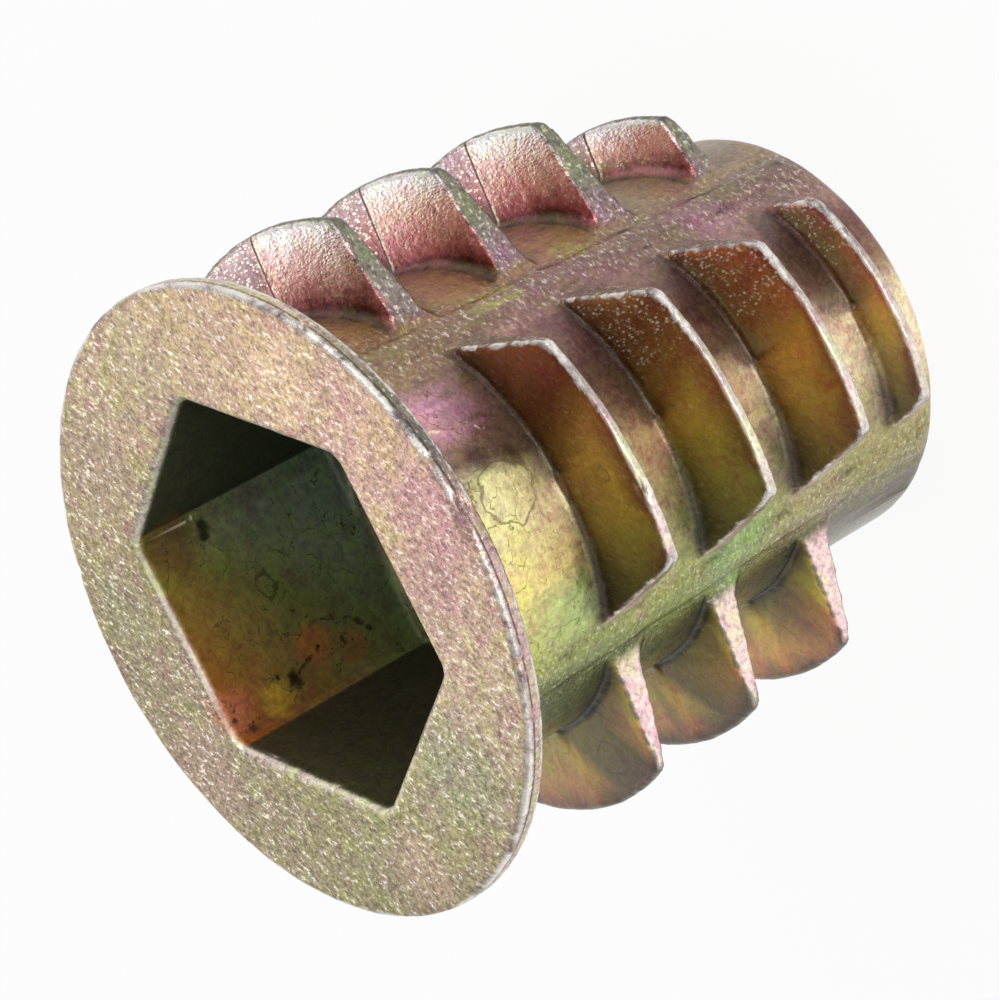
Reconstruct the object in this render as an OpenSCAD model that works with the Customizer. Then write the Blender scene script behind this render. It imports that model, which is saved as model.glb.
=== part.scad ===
// Hex-drive threaded insert for wood, a one-piece zinc die casting.
// A thin flange caps a tapered barrel that carries a coarse right-hand outer thread. The thread
// is broken into four rows of fins, one row for each side slide of the die. A hexagon socket
// opens in the flange, and a metric bore runs on from its floor and out at the tip.
// Millimetres. The tip rests on Z = 0 and the flange is on top.

/* [Overall] */
// Height from the tip face to the flange face
total_h = 14.8; // [14:0.1:20]
// Diameter of the flange
flange_d = 14; // [13.6:0.1:15]
// Thickness of the flange at its rim
flange_t = 0.46; // [0.4:0.02:1]

/* [Barrel] */
// Radius of the barrel just under the flange
barrel_top_r = 5.15; // [5.1:0.05:5.6]
// Radius of the barrel at the tip
barrel_tip_r = 4.65; // [4.55:0.05:5]
// Length of the parallel stretch at the tip
parallel_h = 2.6; // [1:0.1:4]
// Rounding of the tip's outer edge
tip_round = 0.3; // [0.1:0.05:0.5]

/* [Outer thread] */
// Distance between neighbouring fins of one row
pitch = 3.02; // [2.8:0.02:3.2]
// Depth below the flange face of the first fin's upper crest edge
first_depth = 3.34; // [3:0.02:3.6]
// Bare stretch between the last fin and the tip face
tip_bare = 1.4; // [1.2:0.1:3]
// Thickness of a fin at its crest
crest_t = 0.32; // [0.2:0.02:0.5]
// Slope of the flank that faces the flange
upper_slope = 5; // [2:1:12]
// Slope of the flank that faces the tip
lower_slope = 9; // [4:1:14]
// Tilt of the flat facet on one half of each upper flank
facet_tilt = 2; // [1:0.5:3]
// Depth of the crease where that facet starts
crease_step = 0.03; // [0.02:0.01:0.05]
// Rounding of the fin's root into the barrel
root_round = 0.18; // [0.05:0.01:0.25]

/* [Die slides] */
// Draft of the fins' end faces, away from each row's pull direction
end_draft = 13.5; // [5:0.5:18]
// Distance from the axis to the end faces, at the flange
end_dist = 4.2; // [3.8:0.05:4.3]
// How fast the end faces close in towards the tip, per millimetre
end_taper = 0.05; // [0:0.01:0.07]
// Width of the land left where two slides meet
land_w = 0.62; // [0.3:0.02:0.9]
// Height of that land above the barrel
land_h = 0.07; // [0.03:0.01:0.12]

/* [Socket and bore] */
// Width across the flats of the hexagon socket
hex_af = 8.1; // [7.9:0.05:8.2]
// Depth of the hexagon socket
hex_depth = 5.4; // [4.5:0.1:6]
// Radius that trims the socket's sharp corners
hex_corner_r = 4.6; // [4.4:0.02:4.6]
// Bevel round the socket's mouth
mouth_bevel = 0.12; // [0.05:0.01:0.2]
// Bore diameter, the minor diameter of an M8 thread
bore_d = 6.65; // [6.6:0.05:6.9]
// Diameter at the wide end of the bore's two countersinks
sink_d = 8.1; // [7.8:0.1:8.2]

/* [Hidden] */
$fn = 96;

flange_r = flange_d / 2;
under = total_h - flange_t;
sink_h = (sink_d - bore_d) / 2;
// angle of the thread at the middle of a fin
lead = atan(pitch / (2 * PI * 6));
// fins along the whole thread, four to a turn
fin_total = floor((total_h - tip_bare - first_depth) * 4 / pitch) + 1;
// radius of the crests as a share of the flange's, against the height above the tip: the last
// turn is low, to lead the thread into the wood
crest_steps = [[1.6, 0.8], [2.4, 0.837], [3.6, 0.96], [7.3, 0.986], [10.8, 1]];

// radius of the bare barrel at a depth below the flange face
function barrel_r(d) =
    lookup(d, [[flange_t, barrel_top_r], [total_h - parallel_h, barrel_tip_r]]);

// depth of a fin's upper crest edge at the middle of its row
function fin_depth(i) = first_depth + i * pitch / 4;

function crest_r(d) = flange_r * lookup(total_h - d, crest_steps);

// section of a fin through its row's middle, with its upper crest edge at height 0
module fin_section(rb, crest) {
    f = min(root_round, (crest - rb) / 3);
    e = crest_t / 4;
    top = tan(upper_slope) * (crest - rb - f);
    low = crest_t + tan(lower_slope) * (crest - rb - f);
    polygon([[rb - 0.5, top + f + 0.5], [rb, top + f], [rb + f, top], [crest - e, 0], [crest, -e],
        [crest, e - crest_t], [crest - e, -crest_t], [rb + f, -low], [rb, -low - f],
        [rb - 0.5, -low - f - 0.5]]);
}

// outline of a row seen along the axis: its end faces are drafted from the slide's pull direction
module row_outline(crest, c) {
    k = asin(c / crest) - end_draft;
    u = crest * cos(k);
    v = crest * sin(k);
    t = tan(end_draft);
    half = [[3, v + (u - 3) * t], [u - 0.3, v + 0.3 * t], [u + 0.1, v - 0.12], [u + 0.6, v - 0.7]];
    polygon(concat(half, [for (i = [3 : -1 : 0]) [half[i][0], -half[i][1]]]));
}

// one fin, lying along +X and tilted by the thread's lead, as a side slide can draw it
module fin(d) {
    crest = crest_r(d);
    rb = barrel_r(d + crest_t);
    difference() {
        intersection() {
            rotate([lead, 0, 0]) rotate(-60) rotate_extrude(angle = 120) fin_section(rb, crest);
            translate([0, 0, -2]) linear_extrude(height = 4)
                row_outline(crest, end_dist - end_taper * d);
        }
        // flat facet on one half of the upper flank, with a fine crease along the row's middle
        translate([crest, 0, -crease_step]) rotate([lead - facet_tilt, 0, 0])
            rotate([0, upper_slope, 0]) translate([-4, 0, 0]) cube([6, 5, 1]);
    }
}

// flange and barrel turned as one blank
module blank() {
    r = tip_round;
    rotate_extrude() polygon(concat(
        [[0, 0]],
        [for (a = [0 : 22.5 : 90]) [barrel_tip_r - r + r * sin(a), r - r * cos(a)]],
        [[barrel_tip_r, parallel_h], [barrel_top_r, under - 0.25],
         [barrel_top_r + 0.08, under - 0.08], [barrel_top_r + 0.25, under],
         [flange_r - 0.08, under], [flange_r, under + 0.07],
         [flange_r, total_h - 0.22], [flange_r - 0.05, total_h - 0.19], [flange_r, total_h - 0.16],
         [flange_r, total_h - 0.1], [flange_r - 0.03, total_h - 0.03], [flange_r - 0.1, total_h],
         [0, total_h]]));
}

// raised lands along the barrel where the four slides meet
module slide_lands() {
    intersection() {
        rotate_extrude() polygon([[0, 0.35], [barrel_tip_r, 0.35], [barrel_tip_r + land_h, 0.5],
            [barrel_tip_r + land_h, parallel_h], [barrel_top_r + land_h, under], [0, under]]);
        for (a = [45, 135]) rotate(a)
            translate([-flange_r, -land_w / 2, 0]) cube([flange_d, land_w, total_h]);
    }
}

module socket() {
    translate([0, 0, total_h - hex_depth]) intersection() {
        cylinder(d = hex_af / cos(30), h = hex_depth + 1, $fn = 6);
        cylinder(r = hex_corner_r, h = hex_depth + 1);
    }
    // bevel of the mouth
    translate([0, 0, total_h - mouth_bevel]) intersection() {
        cylinder(d1 = hex_af / cos(30), d2 = (hex_af + 4 * mouth_bevel) / cos(30),
            h = 2 * mouth_bevel, $fn = 6);
        cylinder(r1 = hex_corner_r, r2 = hex_corner_r + 2 * mouth_bevel, h = 2 * mouth_bevel);
    }
}

module bore() {
    translate([0, 0, -1]) cylinder(d = bore_d, h = total_h);
    translate([0, 0, -0.01]) cylinder(d1 = sink_d, d2 = bore_d, h = sink_h);
    translate([0, 0, total_h - hex_depth - sink_h])
        cylinder(d1 = bore_d, d2 = sink_d, h = sink_h + 0.01);
}

module insert_body() {
    color("darkkhaki") difference() {
        union() {
            blank();
            slide_lands();
            for (i = [0 : fin_total - 1])
                translate([0, 0, total_h - fin_depth(i)]) rotate(-90 * i)
                    fin(fin_depth(i));
        }
        socket();
        bore();
    }
}

insert_body();
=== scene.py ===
import math

import bpy
import numpy as np
from mathutils import Matrix, Vector, noise


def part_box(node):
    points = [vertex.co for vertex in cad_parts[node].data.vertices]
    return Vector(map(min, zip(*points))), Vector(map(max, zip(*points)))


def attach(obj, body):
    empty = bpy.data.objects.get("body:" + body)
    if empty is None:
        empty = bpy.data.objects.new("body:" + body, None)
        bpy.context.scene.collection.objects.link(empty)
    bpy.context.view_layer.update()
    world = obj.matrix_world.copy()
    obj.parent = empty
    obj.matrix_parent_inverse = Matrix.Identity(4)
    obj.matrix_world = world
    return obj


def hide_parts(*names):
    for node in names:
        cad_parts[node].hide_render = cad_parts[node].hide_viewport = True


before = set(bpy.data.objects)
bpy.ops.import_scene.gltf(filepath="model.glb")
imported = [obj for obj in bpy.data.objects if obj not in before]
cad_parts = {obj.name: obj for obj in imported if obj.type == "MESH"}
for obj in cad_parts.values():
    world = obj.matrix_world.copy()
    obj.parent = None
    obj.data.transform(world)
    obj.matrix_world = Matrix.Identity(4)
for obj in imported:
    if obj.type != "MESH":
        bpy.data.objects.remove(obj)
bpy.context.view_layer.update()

mm = 0.001
tiny = 1e-6               # keeps a division safe
bodyNode = "insert_body"
low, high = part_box(bodyNode)
topZ = high[2]            # the flange's face
print("frame loaded, height in mm", round(topZ / mm, 2))


def deselectAll():
    if bpy.context.object and bpy.context.object.mode != "OBJECT":
        bpy.ops.object.mode_set(mode="OBJECT")
    bpy.ops.object.select_all(action="DESELECT")


def pick(piece):
    deselectAll()
    piece.select_set(True)
    bpy.context.view_layer.objects.active = piece


def applyModifier(piece, kind, **settings):
    pick(piece)
    modifier = piece.modifiers.new(kind.lower(), kind)
    for name, value in settings.items():
        setattr(modifier, name, value)
    bpy.ops.object.modifier_apply(modifier=modifier.name)


def smoothStep(edge0, edge1, x):
    t = np.clip((x - edge0) / (edge1 - edge0), 0, 1)
    return t * t * (3 - 2 * t)


cameraLook = {
    "place": (5.22, -74.96, 62.91),     # millimetres
    "aim": (-0.25, 0.0, 8.77),          # where the middle of the view meets the insert
    "roll": 119.18,                     # degrees, clockwise, so the insert lies on a slant
    "lens": 159.2,
    "sensor": 36,
    "clip": (0.002, 20),                # nearest and furthest, metres
}


def addCamera(look):
    data = bpy.data.cameras.new("camera")
    camera = bpy.data.objects.new("camera", data)
    bpy.context.scene.collection.objects.link(camera)
    place = Vector(look["place"]) * mm
    forward = (Vector(look["aim"]) * mm - place).normalized()
    roll = Matrix.Rotation(math.radians(-look["roll"]), 3, "Z")
    turn = forward.to_track_quat("-Z", "Y").to_matrix() @ roll
    camera.matrix_world = Matrix.Translation(place) @ turn.to_4x4()
    data.lens = look["lens"]
    data.sensor_width = look["sensor"]
    data.clip_start, data.clip_end = look["clip"]
    bpy.context.scene.camera = camera


addCamera(cameraLook)


castLook = {
    "voxel": 0.068,          # millimetres
    "soften": 3,             # rounds of smoothing, which round the edges as a worn die does
    "faces": 190000,         # triangles that the finished mesh may have
    "threadPitch": 1.25,
    "threadMinorR": 3.325,
    "threadMajorR": 4.05,
    "threadTop": 9.9,
    "threadStart": 0.9,      # how far below the tip the cutter's sweep starts
    "threadOverlap": 0.12,   # how far the cutter reaches into the open bore
    "threadRootHalf": 0.08,  # half the flat at the bottom of the thread
    "threadShare": 0.94,     # how much of the pitch the cutter takes
    "threadSteps": 48,
    "uneven": 0.012,         # how far the cast skin waves, mm
    "pushLimits": (-0.03, 0.004),
    "nicks": [               # place and radius in mm, depth in mm
        ((0.50, -7.0, 14.72), 0.26, 0.13),
        ((-0.95, -6.9, 10.62), 0.22, 0.09),
        ((1.55, -6.8, 14.76), 0.16, 0.05),
        ((-2.7, -6.45, 14.76), 0.18, 0.05),
        ((1.9, -6.5, 7.75), 0.15, 0.05),
        ((-1.6, -6.6, 4.65), 0.15, 0.05),
        ((6.9, 0.9, 14.76), 0.2, 0.06),
        ((2.4, 6.6, 14.76), 0.2, 0.06),
        ((2.3, 4.0, 13.3), 0.22, -0.12),     # less than nothing deep: a burr stands proud
        ((-4.1, -2.1, 0.5), 0.22, -0.06),
    ],
}


def threadCutter(look):
    # one triangular ridge, swept up the bore with the pitch of the inner thread
    deselectAll()
    inner = look["threadMinorR"] - look["threadOverlap"]
    outer = look["threadMajorR"]
    half = look["threadPitch"] / 2 * look["threadShare"]
    flat = look["threadRootHalf"]
    bpy.ops.mesh.primitive_circle_add(vertices=4, radius=mm, fill_type="NOTHING",
                                      location=(0, 0, 0))
    ridge = bpy.context.object
    ridge.name = "threadCutter"
    corners = [(inner, -half), (outer, -flat), (outer, flat), (inner, half)]
    for vertex, (r, z) in zip(ridge.data.vertices, corners):
        vertex.co = (r * mm, 0, (z - look["threadStart"]) * mm)
    turns = math.ceil((look["threadTop"] + look["threadStart"]) / look["threadPitch"])
    applyModifier(ridge, "SCREW", axis="Z", screw_offset=look["threadPitch"] * mm,
                  iterations=turns, steps=look["threadSteps"], render_steps=look["threadSteps"],
                  use_normal_calculate=True)
    bpy.ops.object.mode_set(mode="EDIT")
    bpy.ops.mesh.select_all(action="SELECT")
    bpy.ops.mesh.remove_doubles(threshold=tiny)
    # the two open ends are closed
    bpy.ops.mesh.select_all(action="DESELECT")
    bpy.ops.mesh.select_non_manifold(extend=False, use_wire=False, use_multi_face=False,
                                     use_non_contiguous=False, use_verts=False)
    bpy.ops.mesh.edge_face_add()
    bpy.ops.mesh.select_all(action="SELECT")
    bpy.ops.mesh.normals_make_consistent(inside=False)
    bpy.ops.object.mode_set(mode="OBJECT")
    return ridge


def makeCasting(look):
    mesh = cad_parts[bodyNode].data.copy()
    mesh.materials.clear()
    casting = bpy.data.objects.new("castInsert", mesh)
    bpy.context.scene.collection.objects.link(casting)
    pick(casting)
    bpy.ops.object.mode_set(mode="EDIT")
    bpy.ops.mesh.select_all(action="SELECT")
    bpy.ops.mesh.remove_doubles(threshold=2 * tiny)
    bpy.ops.object.mode_set(mode="OBJECT")
    cutter = threadCutter(look)
    applyModifier(casting, "BOOLEAN", operation="DIFFERENCE", solver="EXACT", object=cutter)
    bpy.data.objects.remove(cutter)
    print("thread cut, faces", len(casting.data.polygons))
    applyModifier(casting, "REMESH", mode="VOXEL", voxel_size=look["voxel"] * mm, adaptivity=0)
    print("remeshed, faces", len(casting.data.polygons))
    applyModifier(casting, "SMOOTH", factor=0.5, iterations=look["soften"])
    ratio = min(1, look["faces"] / (2 * len(casting.data.polygons)))
    applyModifier(casting, "DECIMATE", decimate_type="COLLAPSE", ratio=ratio)
    pick(casting)
    bpy.ops.object.shade_smooth()
    print("casting done, faces", len(casting.data.polygons))
    return casting


casting = makeCasting(castLook)
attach(casting, "root")
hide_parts(bodyNode)


# where the parts of the surface lie: radii, and depths below the flange's face, in mm
zoneLook = {
    "barrel": ([0.46, 12.2], [5.15, 4.65]),     # depths, and the radii there
    "crests": ([4, 7.5, 11.2, 12.4, 13.2], [7, 6.9, 6.72, 5.86, 5.6]),
    "finsFrom": 1, "finsTo": 14,
    "rimDepth": 0.5, "rimR": 6.88,
    "faceDepth": 0.09,
    "underDepth": 0.7, "underR": 5.1,
    "insideFrom": 0.06, "insideTo": 14.75, "insideR": 4.95,
    "mouthDepth": 0.24, "mouthR": 4.98,
    "socketFloor": (5.2, 5.6),
    "partingDepth": 0.17,                       # the die's parting line on the rim
}

# colours as an eye sees them, red, green, blue up to 255: the chromate bath's own colours, with
# painted highlights, painted reflections and painted shade in some of them
filmAndLightLook = {
    # the barrel's colours by angle from +X, at three depths below the flange's face; the bright
    # band round -106 to -92 is a painted highlight, and the darker band round -81 beside it a
    # painted dark reflection
    "barrel": {
        2.2: {-180: (126, 126, 92), -168: (136, 138, 100), -150: (94, 104, 72),
              -137: (102, 114, 66), -120: (206, 208, 134), -106: (246, 226, 150),
              -93: (255, 244, 196), -81: (124, 102, 78), -62: (184, 142, 136),
              -45: (132, 112, 80), -34: (156, 124, 84), -10: (132, 100, 76),
              20: (160, 122, 98), 45: (160, 148, 110), 75: (206, 190, 128),
              105: (176, 172, 112), 135: (160, 132, 118), 160: (136, 120, 84)},
        7.0: {-180: (130, 122, 94), -168: (136, 136, 98), -150: (96, 102, 70),
              -137: (132, 144, 74), -120: (180, 174, 122), -106: (206, 188, 140),
              -92: (208, 182, 138), -81: (128, 100, 78), -62: (150, 112, 104),
              -45: (132, 102, 100), -34: (162, 122, 92), -10: (134, 100, 80),
              20: (150, 112, 92), 45: (152, 128, 112), 75: (180, 160, 110),
              105: (150, 150, 98), 135: (158, 140, 104), 160: (128, 110, 80)},
        11.4: {-180: (170, 168, 158), -160: (128, 126, 112), -148: (92, 88, 72),
               -135: (152, 144, 100), -120: (186, 172, 132), -106: (255, 238, 200),
               -92: (255, 238, 206), -81: (150, 116, 96), -70: (118, 84, 74),
               -58: (158, 126, 120), -45: (120, 98, 88), -34: (150, 128, 106),
               -10: (140, 124, 104), 20: (160, 138, 118), 45: (146, 124, 112),
               75: (206, 180, 140), 105: (180, 160, 120), 135: (150, 146, 104),
               160: (150, 140, 120)},
    },
    # the fins' upper flanks from the root to the crest, for the rows at +X and at -X; the row at +X
    # is painted paler towards the crest where the light falls on it
    "upperRight": [(0, (110, 84, 52)), (0.06, (140, 78, 72)), (0.2, (196, 122, 132)),
                   (0.45, (246, 186, 184)), (0.75, (255, 220, 214)), (0.9, (255, 250, 248))],
    "upperLeft": [(0, (104, 100, 64)), (0.2, (184, 166, 86)), (0.5, (210, 182, 94)),
                  (0.8, (192, 128, 98)), (0.96, (100, 84, 72))],
    # the other two rows, by how far round they stand from +X; their dark tones are partly the
    # film's and partly painted shade
    "upperSide": {45: (162, 120, 94), 56: (142, 92, 62), 70: (138, 86, 48), 82: (152, 106, 46),
                  95: (144, 116, 42), 106: (126, 108, 48), 117: (88, 76, 42),
                  135: (74, 62, 36)},
    # the fins grow paler towards the tip, step by step
    "deeperFins": {5.6: (1.15, 1.4, 1.4), 8.6: (1.3, 1.0, 1.1), 11.4: (1.2, 1.3, 2.1)},
    "deeperLeft": (8, 10, 1.4),                 # from and to a depth, and how much paler
    # painted shade on the flanks near the roots
    "rootShade": (0.55, 0.5, 0.5),
    "crestShade": (0.62, 0.40, 0.75),
    "facetShade": (0.48, 0.36, 0.40),           # the half of each flank beyond the crease, painted darker as shade
    "lower": {-180: (134, 128, 86), -90: (156, 134, 84), 0: (156, 112, 96), 90: (140, 128, 80)},
    # the fins' end faces by angle, painted pale from 135 round to -135 where the light falls, and
    # darker elsewhere as shade
    "ends": {-180: (255, 232, 230), -135: (250, 222, 220), -112: (128, 112, 76),
             -68: (122, 96, 80), -50: (134, 120, 116), -38: (138, 140, 122),
             0: (130, 134, 116), 38: (138, 138, 122), 90: (140, 118, 90),
             135: (206, 178, 172)},
    "endRoot": (160, 118, 146),
    # the crests by angle, with a painted highlight on those round -118 to -84
    "crests": {-180: (110, 102, 86), -150: (130, 120, 104), -118: (200, 184, 174),
               -102: (236, 226, 218), -84: (196, 186, 178), -66: (116, 106, 98),
               -30: (104, 106, 94), 0: (98, 102, 88), 60: (110, 106, 96), 80: (150, 140, 126),
               120: (170, 156, 138)},
    # the socket's mouth, painted pale as a highlight, palest at -X and at +Y
    "mouth": {-180: (248, 240, 224), -90: (196, 192, 184), 0: (180, 182, 168),
              90: (246, 240, 226)},
    "rim": {-180: (170, 158, 136), -125: (206, 182, 176), -98: (206, 180, 176),
            -84: (150, 140, 134), -72: (120, 116, 112), -60: (136, 128, 118),
            -44: (196, 180, 162), 0: (204, 188, 170), 90: (186, 168, 150)},
    "face": {-180: (158, 152, 120), -120: (194, 174, 152), -80: (206, 172, 160),
             -30: (198, 172, 150), 20: (180, 162, 136), 90: (150, 138, 112),
             140: (162, 152, 124)},
    "underTone": (150, 138, 104),
    "boreTone": (140, 130, 88),
    # the socket's walls by the way they stand from the axis, at the mouth and at the floor; the
    # colours at the floor are partly the film's and partly painted shade
    "wallsHigh": {30: (50, 56, 38), 90: (206, 138, 62), 150: (68, 64, 46), 210: (104, 112, 78),
                  270: (176, 142, 76), 330: (140, 112, 66)},
    "wallsDeep": {30: (47, 56, 42), 90: (92, 128, 108), 150: (60, 55, 40), 210: (92, 112, 90),
                  270: (122, 132, 84), 330: (120, 102, 66)},
    # the wall at +Y runs through the bath's colours from the mouth's low end to the far corner
    "socketRun": [(0, (168, 94, 36)), (0.16, (136, 102, 16)), (0.42, (128, 112, 32)),
                  (0.66, (130, 144, 86)), (1, (146, 178, 154))],
    # patches of colour, the bath's blooms and one painted highlight: middle and radius in mm,
    # colour, strength
    "colourPatches": [
        # a painted highlight inside the dried drop
        ((0.2, -5.05, 12.15), 0.62, (255, 252, 204), 1.0),
        ((3.6, -3.45, 8.9), 0.42, (166, 168, 84), 0.8),
        ((2.2, -4.6, 12.7), 0.75, (232, 166, 204), 0.9),
        ((3.9, -3.1, 9.4), 0.45, (166, 160, 84), 0.55),
        ((3.9, -3.1, 6.3), 0.5, (160, 160, 80), 0.6),
        ((3.2, -3.6, 3.4), 0.8, (176, 124, 150), 0.45),
        # dark grey in the nick on the rim
        ((0.5, -7.0, 14.6), 0.3, (96, 94, 92), 0.9),
        ((-2.5, -4.4, 11.6), 0.7, (170, 204, 132), 0.6),
        ((-3.4, -3.5, 6.4), 0.9, (140, 172, 112), 0.7),
    ],
    "wander": 0.34,         # how far the bath's edges stray, mm
    "wanderSeed": 7,        # without one, Blender takes a seed from the clock
}


def tone(colour):
    # eye values to light values
    share = np.array(colour) / 255
    return np.where(share < 0.04045, share / 12.92, ((share + 0.055) / 1.055) ** 2.4)


def around(stops, angle):
    # colours set by an angle
    places = np.array(sorted(stops))
    tones = np.array([tone(stops[place]) for place in places])
    return np.stack([np.interp(angle, places, tones[:, i], period=360) for i in range(3)], 1)


def along(stops, value):
    # colours set by a number
    places = np.array([place for place, colour in stops])
    tones = np.array([tone(colour) for place, colour in stops])
    return np.stack([np.interp(value, places, tones[:, i]) for i in range(3)], 1)


def blend(base, other, share):
    return base + (other - base) * np.clip(share, 0, 1)[:, None]


def readMesh(mesh):
    count = len(mesh.vertices)
    points, normals = np.empty(count * 3), np.empty(count * 3)
    edges = np.empty(len(mesh.edges) * 2, int)
    mesh.vertices.foreach_get("co", points)
    mesh.vertices.foreach_get("normal", normals)
    mesh.edges.foreach_get("vertices", edges)
    return points.reshape(-1, 3) / mm, normals.reshape(-1, 3), edges.reshape(-1, 2)


def sumOver(edges, toSecond, toFirst, count):
    # what each point receives along its edges
    first, second = edges[:, 0], edges[:, 1]
    return np.bincount(first, toFirst, count) + np.bincount(second, toSecond, count)


def neighbours(edges, count):
    return np.maximum(np.bincount(edges.ravel(), minlength=count), 1)


def spread(values, edges, rounds):
    # each point takes half of its neighbours' mean
    count = len(values)
    near = neighbours(edges, count)
    for _ in range(rounds):
        total = sumOver(edges, values[edges[:, 0]], values[edges[:, 1]], count)
        values = 0.5 * values + 0.5 * total / near
    return values


def bendOf(points, normals, edges):
    # one over the radius of the surface's bend, in mm: positive on an edge, negative in a corner
    count = len(points)
    step = points[edges[:, 0]] - points[edges[:, 1]]
    turn = normals[edges[:, 0]] - normals[edges[:, 1]]
    bend = (step * turn).sum(1) / np.maximum((step * step).sum(1), 1e-9)
    return spread(sumOver(edges, bend, bend, count) / neighbours(edges, count), edges, 2)


def roughenCasting(piece, look):
    # the skin of a casting is never quite flat, and its edges carry small nicks
    points, normals, edges = readMesh(piece.data)
    waves = [noise.noise(Vector(point) * 1.3) + 0.6 * noise.noise(Vector(point) * 3.1)
             for point in points]
    push = np.clip(look["uneven"] * np.array(waves), *look["pushLimits"])
    for place, size, depth in look["nicks"]:
        gap = np.linalg.norm(points - place, axis=1)
        push = push - depth * np.clip(1 - (gap / size) ** 2, 0, 1)
    points = np.clip(points + normals * push[:, None], np.array(low) / mm, np.array(high) / mm)
    piece.data.vertices.foreach_set("co", (points * mm).ravel())
    piece.data.update()
    print("skin roughened")


roughenCasting(casting, castLook)


def writeMask(mesh, name, values):
    layer = mesh.attributes.new(name, "FLOAT", "POINT")
    layer.data.foreach_set("value", values.astype(np.float32))


def markSurface(piece, look, zone):
    mesh = piece.data
    points, normals, edges = readMesh(mesh)
    bend = bendOf(points, normals, edges)
    noise.seed_set(look["wanderSeed"])
    drift = np.array([noise.noise_vector(Vector(point) * 1.1) for point in points])
    x, y, z = (points + drift * look["wander"]).T
    radius = np.hypot(x, y)
    trueRadius = np.hypot(points[:, 0], points[:, 1])
    angle = np.degrees(np.arctan2(y, x))
    depth = topZ / mm - z
    trueDepth = topZ / mm - points[:, 2]
    # which way the skin looks: out from the axis, round it, and up
    safeRadius = np.maximum(trueRadius, tiny)
    outward = (points[:, 0] * normals[:, 0] + points[:, 1] * normals[:, 1]) / safeRadius
    across = np.abs(points[:, 0] * normals[:, 1] - points[:, 1] * normals[:, 0]) / safeRadius
    facing = normals[:, 2]

    barrelR = np.interp(trueDepth, *zone["barrel"])
    crestR = np.interp(trueDepth, *zone["crests"])
    reach = (radius - barrelR) / (crestR - barrelR)     # 0 at a fin's root, 1 at its crest
    proud = trueRadius - barrelR
    belowFlange = trueDepth > zone["finsFrom"]
    onFin = smoothStep(0.05, 0.2, proud) * belowFlange
    atRoot = smoothStep(-0.06, 0.0, proud) * belowFlange * (trueDepth < zone["finsTo"])
    right, left = smoothStep(0.62, 0.76, x / radius), smoothStep(-0.62, -0.76, x / radius)

    # the barrel, with its blooms and painted highlights
    deep = sorted(look["barrel"])
    filmAndPaintedLight = around(look["barrel"][deep[0]], angle)
    for upperStop, lowerStop in zip(deep, deep[1:]):
        share = smoothStep(upperStop + 0.6, lowerStop - 0.6, depth)
        filmAndPaintedLight = blend(filmAndPaintedLight, around(look["barrel"][lowerStop], angle), share)
    for middle, size, colour, strength in look["colourPatches"]:
        gap = np.linalg.norm(np.stack([x, y, z], 1) - middle, axis=1)
        filmAndPaintedLight = blend(filmAndPaintedLight, tone(colour), strength * smoothStep(size * 1.25, size * 0.6, gap))

    # the fins' flanks, crests and ends, with painted light and shade in them
    bothSides = {sign * place: colour for sign in (1, -1)
                 for place, colour in look["upperSide"].items()}
    flank = around(bothSides, angle)
    for start, gain in look["deeperFins"].items():
        flank = blend(flank, flank * gain, smoothStep(start - 0.4, start + 0.4, depth))
    # painted shade near each root
    flank = blend(flank, flank * look["rootShade"], smoothStep(0.42, 0.05, reach))
    flank = blend(flank, flank * look["crestShade"], smoothStep(0.78, 0.95, reach))
    # the row at +X, painted paler towards the crest where the light falls, and darker beyond the
    # crease as painted shade
    pale = along(look["upperRight"], reach)
    pale = blend(pale, pale * look["facetShade"], smoothStep(-0.1, 0.1, points[:, 1] + 0.1))
    flank = blend(flank, pale, right)
    leftFlank = along(look["upperLeft"], reach)
    startDepth, endDepth, gain = look["deeperLeft"]
    leftFlank = blend(leftFlank, leftFlank * gain, smoothStep(startDepth, endDepth, depth))
    flank = blend(flank, leftFlank, left)
    filmAndPaintedLight = blend(filmAndPaintedLight, flank, atRoot * smoothStep(0.25, 0.6, facing))
    filmAndPaintedLight = blend(filmAndPaintedLight, around(look["lower"], angle), atRoot * smoothStep(-0.25, -0.6, facing))
    crest = onFin * smoothStep(0.6, 0.85, outward)
    end = onFin * smoothStep(0.45, 0.7, across)
    filmAndPaintedLight = blend(filmAndPaintedLight, around(look["crests"], angle), crest)
    filmAndPaintedLight = blend(filmAndPaintedLight, around(look["ends"], angle), end)
    filmAndPaintedLight = blend(filmAndPaintedLight, tone(look["endRoot"]), 0.7 * end * right * smoothStep(0.45, 0.1, reach))

    # the flange
    rim = (trueDepth < zone["rimDepth"]) & (trueRadius > zone["rimR"])
    face = (trueDepth < zone["faceDepth"]) & (facing > 0.6)
    under = (trueDepth < zone["underDepth"]) & (facing < -0.5) & (trueRadius > zone["underR"])
    inside = (outward < 0.2) & (trueRadius < zone["insideR"])
    inside = inside & (trueDepth > zone["insideFrom"]) & (trueDepth < zone["insideTo"])
    mouth = (trueDepth < zone["mouthDepth"]) & (trueRadius < zone["mouthR"])
    mouth = mouth & (facing > 0.3) & (facing < 0.93)
    rim, face, under, inside, mouth = (
        spread(mask.astype(float), edges, 1) for mask in (rim, face, under, inside, mouth))
    filmAndPaintedLight = blend(filmAndPaintedLight, around(look["rim"], angle), rim)
    filmAndPaintedLight = blend(filmAndPaintedLight, tone(look["underTone"]), under)
    filmAndPaintedLight = blend(filmAndPaintedLight, around(look["face"], angle), face)

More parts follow.
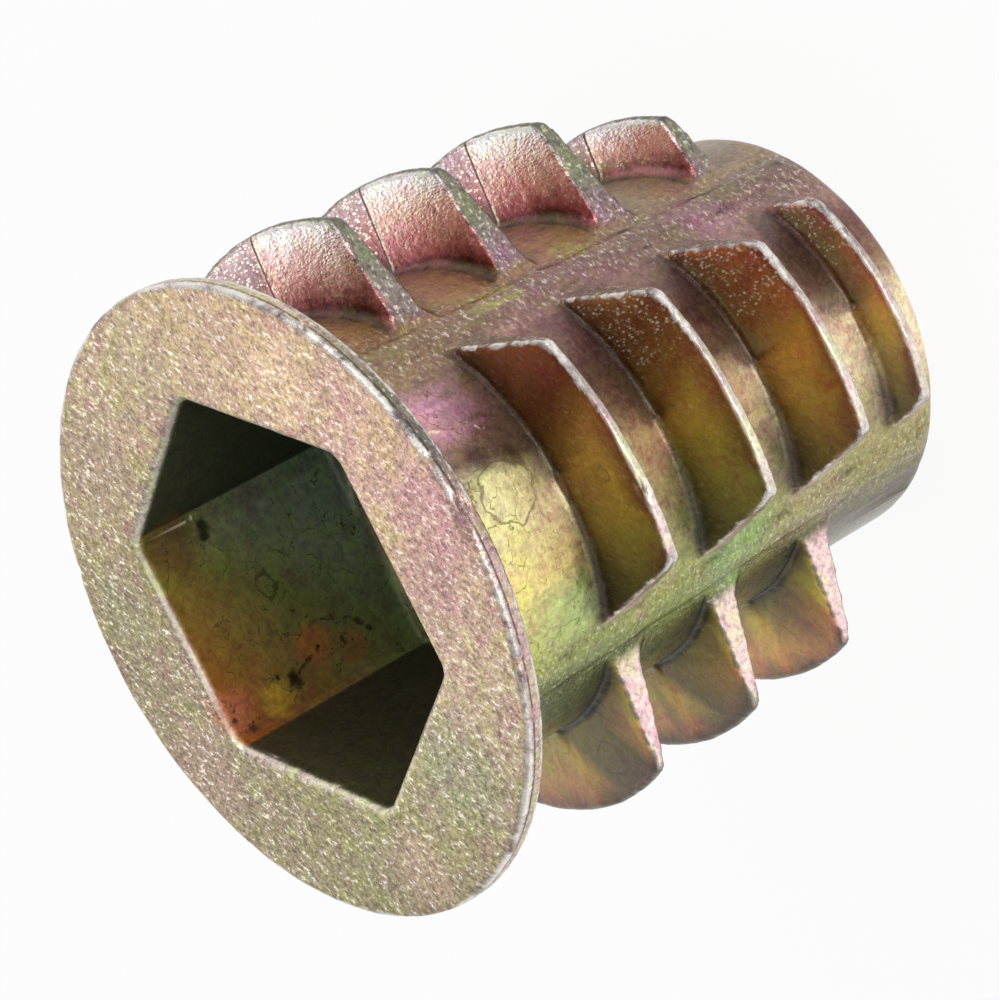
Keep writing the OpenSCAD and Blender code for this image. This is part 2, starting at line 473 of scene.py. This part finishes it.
    # the socket and the bore; the deeper walls carry some painted shade, and the mouth a painted
    # highlight
    wallAngle = np.degrees(np.arctan2(-normals[:, 1], -normals[:, 0]))
    turned = np.radians(wallAngle)
    sideways = y * np.cos(turned) - x * np.sin(turned)
    goDeep = smoothStep(0.6, 4.4, depth - 0.6 * sideways)
    wall = blend(around(look["wallsHigh"], wallAngle), around(look["wallsDeep"], wallAngle), goDeep)
    run = (depth + 0.75 * x + 1.4) / 7.2                # 0 to 1, slanting down the wall at +Y
    farWall = smoothStep(58, 45, np.abs(wallAngle - 90))
    wall = blend(wall, along(look["socketRun"], run), farWall)
    wall = blend(wall, tone(look["boreTone"]), smoothStep(*zone["socketFloor"], trueDepth))
    filmAndPaintedLight = blend(filmAndPaintedLight, wall, inside)
    filmAndPaintedLight = blend(filmAndPaintedLight, around(look["mouth"], angle), 0.85 * mouth)
    # the film's colour, with the painted light and shade that the tables hold
    layer = mesh.attributes.new("filmAndPaintedLight", "FLOAT_COLOR", "POINT")
    solid = np.column_stack([filmAndPaintedLight, np.ones(len(filmAndPaintedLight))])
    layer.data.foreach_set("color", solid.astype(np.float32).ravel())

    # masks that the finish reads
    bearing = np.radians(angle)
    atSide = smoothStep(0.66, 0.78, np.abs(np.sin(bearing)))
    nearTop = smoothStep(88, 66, np.abs(angle)) * (1 - right)
    onLand = smoothStep(14, 4, np.abs(np.abs(np.abs(angle) - 90) - 45))
    hollow = smoothStep(0.5, 2.0, -bend)
    hollowBelow = hollow * (facing > -0.3) * belowFlange
    # painted shade on the barrel beside the fin roots at the sides
    near = spread(hollowBelow * atSide, edges, 50)
    creased = onFin * right * smoothStep(0.45, 0.8, facing)
    topFrost = onFin * nearTop * smoothStep(4.5, 8.5, depth) * smoothStep(0.45, 0.8, facing)
    nearFlange = smoothStep(4.2, 3.2, depth) * smoothStep(0.3, -0.3, np.sin(bearing))
    finGrain = 0.15 * right + 0.35 * nearTop * smoothStep(5, 8, depth) + 0.5 * end
    grainy = 0.08 + 0.85 * face + 0.55 * rim + onFin * finGrain
    grainy = grainy + 0.5 * onLand
    offFlange = (1 - face) * (1 - rim)
    masks = {
        # worn edges, with a painted highlight along the rim
        "wearAndEdgeSheen": smoothStep(1.9, 4.4, bend + 0.8 * rim),
        "barrelRootShade": smoothStep(0.1, 0.4, near) * (1 - onFin) * (1 - inside),
        "atSide": atSide,
        "calm": onFin * (1 - right) * smoothStep(0.3, 0.7, np.abs(facing)),
        "hollow": hollow,
        # dirt and painted shade spread round the corners
        "cornerDirtAndShade": smoothStep(0.03, 0.3, spread(hollow, edges, 8)),
        "creased": creased,
        "frosted": np.maximum(creased * smoothStep(0.1, 0.7, reach), 0.6 * topFrost),
        "inside": inside,
        "face": face,
        "rim": rim,
        "smoothCast": offFlange * np.maximum(inside, np.maximum(nearFlange, 0.45)),
        "sheltered": offFlange * (1 - right * onFin) * (1 + 0.7 * left * onFin),
        "grainy": np.clip(grainy * (1 - inside), 0, 1),
    }
    for name, values in masks.items():
        writeMask(mesh, name, values)
    print("surface marked, worn share", round(float((bend > 3).mean()), 3))


markSurface(casting, filmAndLightLook, zoneLook)


class Tap:
    # a socket that can be used in sums
    def __init__(self, shop, socket):
        self.shop = shop
        self.socket = socket

    def sum(self, operation, *others):
        return self.shop.node("ShaderNodeMath", {"operation": operation}, [self, *others])

    def __add__(self, other): return self.sum("ADD", other)
    def __radd__(self, other): return self.sum("ADD", other)
    def __sub__(self, other): return self.sum("SUBTRACT", other)
    def __mul__(self, other): return self.sum("MULTIPLY", other)
    def __rmul__(self, other): return self.sum("MULTIPLY", other)
    def __truediv__(self, other): return self.sum("DIVIDE", other)

    def __rsub__(self, other):
        return self.shop.node("ShaderNodeMath", {"operation": "SUBTRACT"}, [other, self])


class Shop:
    # makes the nodes of one material
    def __init__(self, tree):
        self.tree = tree
        tree.nodes.clear()

    def node(self, kind, settings=None, values=None, out=0):
        made = self.tree.nodes.new(kind)
        for name, value in (settings or {}).items():
            if name == "stops":
                ramp = made.color_ramp
                while len(ramp.elements) > 1:
                    ramp.elements.remove(ramp.elements[-1])
                for i, (place, colour) in enumerate(value):
                    element = ramp.elements[0] if i == 0 else ramp.elements.new(place)
                    element.position = place
                    element.color = (*colour, 1)
            else:
                setattr(made, name, value)
        pairs = values.items() if isinstance(values, dict) else enumerate(values or [])
        for key, value in pairs:
            if isinstance(value, Tap):
                self.tree.links.new(value.socket, made.inputs[key])
            else:
                made.inputs[key].default_value = value
        return Tap(self, made.outputs[out]) if len(made.outputs) else None

    def read(self, name, out="Fac"):
        settings = {"attribute_name": name, "attribute_type": "GEOMETRY"}
        return self.node("ShaderNodeAttribute", settings, out=out)

    def between(self, value, lowEnd, highEnd):
        return self.node("ShaderNodeMapRange", {"interpolation_type": "SMOOTHSTEP"},
                         [value, lowEnd, highEnd, 0.0, 1.0])

    def noise(self, vector, scale, detail=3, rough=0.55, distort=0, out=0):
        return self.node("ShaderNodeTexNoise", {}, {
            "Vector": vector, "Scale": scale, "Detail": detail, "Roughness": rough,
            "Distortion": distort}, out)

    def ramp(self, value, stops):
        return self.node("ShaderNodeValToRGB", {"stops": stops}, [value])

    def vector(self, operation, first, second, out=0):
        return self.node("ShaderNodeVectorMath", {"operation": operation}, [first, second], out)

    def scaled(self, vector, share):
        return self.node("ShaderNodeVectorMath", {"operation": "SCALE"},
                         {"Vector": vector, "Scale": share})

    def split(self, vector):
        return self.node("ShaderNodeSeparateXYZ", {}, [vector]).socket.node.outputs

    def fromPoint(self, vector, point):
        return self.vector("DISTANCE", vector, point, "Value")

    def fromLine(self, vector, start, stop):
        # distance from the line between two points
        run = Vector(stop) - Vector(start)
        gap = self.vector("SUBTRACT", vector, start)
        share = self.vector("DOT_PRODUCT", gap, tuple(run / run.length_squared), "Value")
        share = share.sum("MAXIMUM", 0.0).sum("MINIMUM", 1.0)
        return self.vector("DISTANCE", gap, self.scaled(tuple(run), share), "Value")

    def mix(self, share, first, second, blend="MIX"):
        made = self.node("ShaderNodeMix", {"data_type": "RGBA", "blend_type": blend}, out=2)
        node = made.socket.node
        for index, value in ((0, share), (6, first), (7, second)):
            if isinstance(value, Tap):
                self.tree.links.new(value.socket, node.inputs[index])
            else:
                node.inputs[index].default_value = value if index == 0 else (*value, 1)
        return made


chromateLook = {
    "bloomScale": 0.9,       # the bath's blooms, per mm
    "mottleScale": 3.4,
    "fineScale": 9.0,
    "grainScale": 12.0,      # the cast skin's grain
    "brush": {"Rotation": (0, 0, 0.8), "Scale": (2.1, 1, 1)},     # the grain runs one way
    "dotScale": 17.0,        # the frosted fins' round glints
    "dotShape": (1.0, 0.5, 1.0),
    "crackScale": 1.7,
    "strayScale": 2.6,
    "stray": 0.55,           # how far marks stray, mm
    "strayMean": 0.27,       # which way they stray on the whole
    "rough": 0.28,
    "metal": 0.92,
    # the film's thickness turns each colour towards pink, yellow or green
    "film": [(0.34, (1.0, 0.66, 0.82)), (0.43, (1.0, 0.84, 0.90)), (0.50, (0.98, 0.96, 0.92)),
             (0.57, (0.98, 0.98, 0.68)), (0.66, (0.74, 0.96, 0.66))],
    # painted highlights on the grains, each with its own tint
    "tints": [(0.38, (1.0, 0.76, 0.80)), (0.48, (1.0, 0.96, 0.92)), (0.58, (1.0, 0.94, 0.66)),
              (0.66, (0.76, 0.86, 0.60))],
    "frostTones": ((1.0, 0.95, 0.93), (1.0, 0.93, 0.70)),
    "glintTone": (0.98, 0.92, 0.66),
    "creaseTone": (0.03, 0.025, 0.02),
    "partingTone": (0.05, 0.045, 0.04),
    "bareTones": ((0.07, 0.07, 0.06), (0.95, 0.91, 0.89)),        # dull, and bright as a painted highlight
    "crackTones": ((0.14, 0.07, 0.04), (0.03, 0.02, 0.012)),      # outside, inside
    "paleTone": (0.98, 0.84, 0.60),
    "blackTone": (0.016, 0.01, 0.006),
    "stainsAndHighlights": [              # middle and radius in mm, colour, strength; two of them are painted highlights
        ((0.5, -6.2, 14.8), 1.1, (190, 140, 146), 0.5),
        ((-0.6, -5.2, 14.8), 1.0, (190, 148, 148), 0.5),
        ((-4.3, -3.0, 14.8), 1.3, (156, 160, 126), 0.6),
        ((-6.0, -0.2, 14.8), 1.0, (196, 164, 146), 0.5),
        ((-2.6, 5.4, 14.8), 1.2, (174, 142, 132), 0.5),
        ((1.2, 5.6, 14.8), 1.0, (146, 144, 112), 0.5),
        ((4.4, 3.9, 14.8), 1.0, (168, 140, 134), 0.5),
        ((5.9, 0.6, 14.8), 1.0, (180, 168, 134), 0.5),
        ((4.2, -3.6, 14.8), 1.0, (226, 200, 158), 0.5),
        # a painted highlight inside the dried drop
        ((0.2, -5.05, 12.1), 0.6, (255, 242, 178), 0.75),
        ((0.8, -4.98, 11.6), 0.3, (96, 78, 44), 0.6),
        ((1.05, -4.95, 12.4), 0.35, (84, 52, 52), 0.7),
        ((2.0, 4.05, 14.0), 0.7, (104, 62, 34), 0.6),
        ((-1.7, 4.05, 14.4), 0.55, (206, 116, 86), 0.6),
        ((-1.95, 4.1, 13.3), 0.42, (206, 164, 56), 0.75),
        ((-2.05, 4.08, 12.0), 0.3, (160, 132, 52), 0.6),
        ((-1.3, 4.05, 11.9), 0.5, (196, 116, 60), 0.7),
        ((-1.75, 4.05, 11.0), 0.4, (170, 110, 60), 0.6),
        ((-1.75, 4.05, 12.75), 0.2, (20, 12, 8), 0.9),
        ((-1.5, 4.05, 13.15), 0.12, (20, 12, 8), 0.9),
        ((-2.1, 4.05, 14.2), 0.14, (30, 16, 10), 0.8),
        ((1.95, 4.05, 13.1), 0.2, (30, 16, 12), 0.9),
        # a painted highlight on the burr
        ((2.28, 3.9, 13.35), 0.10, (255, 240, 220), 1.0),
    ],
    "scratches": [           # ends in mm, half width in mm
        ((1.95, -4.71, 13.1), (1.6, -4.80, 11.75), 0.028),
        ((0.25, -4.77, 5.36), (-0.3, -4.76, 5.22), 0.05),
        ((1.15, -4.80, 8.55), (0.85, -4.86, 8.9), 0.03),
    ],
    "seams": [               # the same, dark
        ((-0.48, 4.05, 12.1), (-1.1, 4.05, 10.97), 0.035),
        ((-1.1, 4.05, 10.97), (-1.9, 4.05, 9.95), 0.05),
        ((-1.77, 4.05, 12.7), (-1.37, 4.05, 11.84), 0.05),
        ((-1.37, 4.05, 11.84), (-1.73, 4.05, 10.66), 0.045),
        ((-1.86, 4.05, 14.5), (-2.1, 4.05, 13.9), 0.04),
    ],
    "folds": [               # dead straight and pale
        ((2.34, 4.04, 14.75), (2.31, 4.02, 13.45), 0.05),
    ],
    "rings": [               # dried drops: middle in mm, radius in mm
        ((0.2, -5.05, 12.15), 0.66),
        ((-5.95, -1.25, 10.07), 0.42),
        ((-0.33, -6.17, 10.75), 0.20),
        ((0.3, 4.05, 12.3), 0.26),
    ],
}


def shifted(point, shift):
    return tuple(c + shift for c in point)


def chromateMaterial(look):
    material = bpy.data.materials.new("chromatedZinc")
    material.use_nodes = True
    shop = Shop(material.node_tree)
    spot = shop.scaled(shop.node("ShaderNodeTexCoord", out="Object"), 1 / mm)
    wearAndEdgeSheen, hollow, grainy, inside, face, smoothCast, sheltered, creased, rim, cornerDirtAndShade = (
        shop.read(name) for name in ("wearAndEdgeSheen", "hollow", "grainy", "inside", "face", "smoothCast",
                                     "sheltered", "creased", "rim", "cornerDirtAndShade"))
    barrelRootShade, atSide, calm, frosted = (
        shop.read(name) for name in ("barrelRootShade", "atSide", "calm", "frosted"))
    bloom = shop.noise(spot, look["bloomScale"], 4, 0.6, 1.2)
    mottle = shop.noise(spot, look["mottleScale"], 4, 0.65, 0.5)
    fine = shop.noise(spot, look["fineScale"], 3, 0.7)
    brushed = shop.node("ShaderNodeMapping", {"vector_type": "TEXTURE"},
                        {"Vector": spot, **look["brush"]})
    grain = shop.noise(brushed, look["grainScale"], 2, 0.7)
    dots = shop.node("ShaderNodeTexVoronoi", {}, {
        "Vector": shop.vector("MULTIPLY", spot, look["dotShape"]),
        "Scale": look["dotScale"]}).socket.node.outputs
    dotSize = Tap(shop, dots["Distance"])
    luck = Tap(shop, shop.split(Tap(shop, dots["Color"]))[0])
    axes = shop.split(spot)
    side = Tap(shop, axes["Y"])
    height = topZ / mm - Tap(shop, axes["Z"])

    # the bath's own colour, with stains and two painted highlights
    film = shop.ramp(bloom * 0.6 + mottle * 0.4, look["film"])
    colour = shop.mix(0.9 - creased * 0.45, shop.read("filmAndPaintedLight", "Color"), film, "MULTIPLY")
    stray = shop.scaled(shop.noise(spot, look["strayScale"], 3.0, 0.5, out="Color"), look["stray"])
    strayed = shop.vector("ADD", spot, stray)
    for middle, radius, markColour, strength in look["stainsAndHighlights"]:
        gap = shop.fromPoint(strayed, shifted(middle, look["strayMean"]))
        share = (1 - shop.between(gap, radius * 0.5, radius * 1.3)) * strength
        colour = shop.mix(share, colour, tuple(float(c) for c in tone(markColour)))
    level = 1.08 + ((fine - 0.5) * 1.5 + (mottle - 0.5) * 1.2) * (1 - calm * 0.45)
    colour = shop.scaled(colour, level)

    # painted highlights on the grain's peaks, painted round glints, and painted shade in the pits
    # between them
    tint = shop.ramp(mottle * 0.5 + fine * 0.5, look["tints"])
    grainHighlight = shop.between(grain + (fine - 0.5) * 0.35, 0.56, 0.70) * grainy
    colour = shop.mix(grainHighlight * 0.8, colour, tint)
    chosen = shop.between(luck + (mottle - 0.5) * 2.6 + frosted * 0.7, 0.85, 1.0)
    frost = 1 - shop.between(dotSize / (luck * 0.9 + 0.35) + (fine - 0.5) * 0.9, 0.25, 0.5)
    frost = frost * chosen * shop.between(frosted, 0.05, 0.3)
    frostTone = shop.mix(shop.between(luck, 0.6, 0.9), *look["frostTones"])
    colour = shop.mix(frost * (0.6 + creased * 0.35), colour, frostTone)
    pitShade = (1 - shop.between(grain + (fine - 0.5) * 0.3, 0.36, 0.47)) * grainy
    colour = shop.mix(pitShade * 0.6, colour, shop.scaled(colour, 0.4))

    # painted shade on the barrel beside the roots, dirt and painted shade round the corners,
    # painted shade in the root fillets, and a crease along the middle of each flank with a painted
    # highlight beside it
    colour = shop.mix(barrelRootShade * 0.55, colour, shop.scaled(colour, 0.22))
    colour = shop.mix(cornerDirtAndShade * 0.45, colour, shop.scaled(colour, 0.3))
    rootFilletShade = hollow * (1 - inside * 0.5) * (0.95 - atSide * 0.45)
    colour = shop.mix(rootFilletShade, colour, shop.scaled(colour, 0.2))
    glint = (1 - shop.between((side + 0.09).sum("ABSOLUTE"), 0.02, 0.07)) * creased
    colour = shop.mix(glint * shop.between(fine, 0.42, 0.56) * 0.6, colour, look["glintTone"])
    crease = (1 - shop.between(side.sum("ABSOLUTE"), 0.02, 0.06)) * creased
    crease = crease * shop.between(mottle, 0.30, 0.40)
    colour = shop.mix(crease * 0.9, colour, look["creaseTone"])
    # the die's parting line runs round the rim
    offParting = (height - zoneLook["partingDepth"]).sum("ABSOLUTE")
    parting = (1 - shop.between(offParting, 0.012, 0.035)) * rim * shop.between(mottle, 0.38, 0.46)
    colour = shop.mix(parting * 0.75, colour, look["partingTone"])

    # bare metal on the edges, broken by the bath, and painted bright as a highlight on the edges at
    # the sides and along the rim
    worn = shop.between(wearAndEdgeSheen + (bloom - 0.5) * 1.2 + (fine - 0.5) * 0.3, 0.3, 0.95)
    brightBareAndSheen = shop.between(mottle * 0.25 + bloom * 0.75, 0.36, 0.56)
    brightBareAndSheen = brightBareAndSheen * (0.1 + atSide.sum("MAXIMUM", rim) * 0.9)
    colour = shop.mix(worn * 0.75, colour, shop.mix(brightBareAndSheen, *look["bareTones"]))

    # fine dark cracks in the film where the casting is smooth, and dried drops
    cell = shop.node("ShaderNodeTexVoronoi", {"feature": "DISTANCE_TO_EDGE"},
                     {"Vector": strayed, "Scale": look["crackScale"]})
    crack = (1 - shop.between(cell, 0.006, 0.032)) * shop.between(bloom, 0.44, 0.52)
    crack = crack * smoothCast * shop.between(mottle, 0.44, 0.54)
    for middle, radius in look["rings"]:
        gap = shop.fromPoint(strayed, shifted(middle, look["strayMean"]))
        ring = 1 - shop.between((gap - radius).sum("ABSOLUTE"), 0.012, 0.05)
        crack = crack.sum("MAXIMUM", ring * shop.between(mottle, 0.34, 0.46) * 0.9)
    colour = shop.mix(crack * 0.75, colour, shop.mix(inside, *look["crackTones"]))
    for name, where, shift, mark in (("scratches", strayed, look["strayMean"], "paleTone"),
                                     ("seams", strayed, look["strayMean"], "blackTone"),
                                     ("folds", spot, 0.0, "paleTone")):
        for start, stop, half in look[name]:
            away = shop.fromLine(where, shifted(start, shift), shifted(stop, shift))
            share = (1 - shop.between(away, half * 0.5, half * 1.3)) * 0.8
            colour = shop.mix(share, colour, look[mark])

    rough = look["rough"] + (mottle - 0.5) * 0.25 + face * 0.12 + inside * 0.15 + crack * 0.2
    rough = rough - grainHighlight * 0.1 - frost * 0.1
    metal = look["metal"] - inside * 0.3 - sheltered * 0.5
    skin = grain * grainy * 0.026 + mottle * 0.018 + (1 - dotSize) * frosted * 0.008
    skin = skin + fine * (1 - calm) * 0.006
    bump = shop.node("ShaderNodeBump", {}, {"Strength": 1.0, "Distance": mm, "Height": skin})
    shader = shop.node("ShaderNodeBsdfPrincipled", {}, {
        "Base Color": colour, "Roughness": rough, "Metallic": metal, "Normal": bump})
    shop.node("ShaderNodeOutputMaterial", {}, {"Surface": shader})
    return material


casting.data.materials.append(chromateMaterial(chromateLook))
print("finish made")


studioLook = {
    "floorSize": 3.0,         # metres
    "floorTone": (0.86, 0.86, 0.86, 1),
    "floorWhite": 0.92,       # how white the eye, gloss and glass see the floor
    "wallLight": 1.0,         # strength of the room's pale walls, up to wallTop
    "wallTop": 0.22,          # height of a direction, as a sine
    "wallFade": 0.25,
    "ceilingLight": 0.55,
    "lamps": {
        # name: (direction that it stands in, distance mm, size mm, watts)
        "keyLamp": ((0.75, -0.35, 0.75), 160, 100, 0.06),
        "fillLamp": ((-0.8, -0.6, 0.5), 170, 110, 0.02),
        "frontLamp": ((-0.12, -1, 0.1), 160, 100, 0.08),
        "backLamp": ((0.1, 0.9, 0.62), 170, 110, 0.03),
    },
}


def whiteRays(shop):
    # the eye, gloss and glass see the same white background
    rays = shop.node("ShaderNodeLightPath").socket.node.outputs
    seen = [Tap(shop, rays["Is " + name + " Ray"]) for name in ("Camera", "Glossy", "Transmission")]
    return seen[0].sum("MAXIMUM", seen[1]).sum("MAXIMUM", seen[2])


def addFloor(look):
    deselectAll()
    bpy.ops.mesh.primitive_plane_add(size=look["floorSize"], location=(0, 0, low[2]))
    floor = bpy.context.object
    floor.name = "floor"
    material = bpy.data.materials.new("paleFloor")
    material.use_nodes = True
    shop = Shop(material.node_tree)
    plain = shop.node("ShaderNodeBsdfDiffuse", {}, {"Color": look["floorTone"]})
    white = shop.node("ShaderNodeEmission", {}, {"Color": (1, 1, 1, 1), "Strength": 1.0})
    share = whiteRays(shop) * look["floorWhite"]
    both = shop.node("ShaderNodeMixShader", {}, [share, plain, white])
    shop.node("ShaderNodeOutputMaterial", {}, {"Surface": both})
    floor.data.materials.append(material)


def lightStudio(look):
    world = bpy.data.worlds.new("studio")
    bpy.context.scene.world = world
    world.use_nodes = True
    shop = Shop(world.node_tree)
    height = Tap(shop, shop.split(shop.node("ShaderNodeTexCoord", out="Generated"))["Z"])
    up = shop.between(height, look["wallTop"], look["wallTop"] + look["wallFade"])
    light = shop.mix(up, (look["wallLight"],) * 3, (look["ceilingLight"],) * 3)
    room = shop.node("ShaderNodeBackground", {}, {"Color": light, "Strength": 1.0})
    shop.node("ShaderNodeOutputWorld", {}, {"Surface": room})
    middle = Vector((0, 0, topZ / 2))
    for name, (way, distance, size, watts) in look["lamps"].items():
        data = bpy.data.lights.new(name, "AREA")
        data.shape = "DISK"
        data.size = size * mm
        data.energy = watts
        lamp = bpy.data.objects.new(name, data)
        bpy.context.scene.collection.objects.link(lamp)
        direction = Vector(way).normalized()
        turn = (-direction).to_track_quat("-Z", "Y").to_matrix().to_4x4()
        lamp.matrix_world = Matrix.Translation(middle + direction * distance * mm) @ turn


addFloor(studioLook)
lightStudio(studioLook)
bpy.context.scene.view_settings.view_transform = "Standard"
print("studio lit")
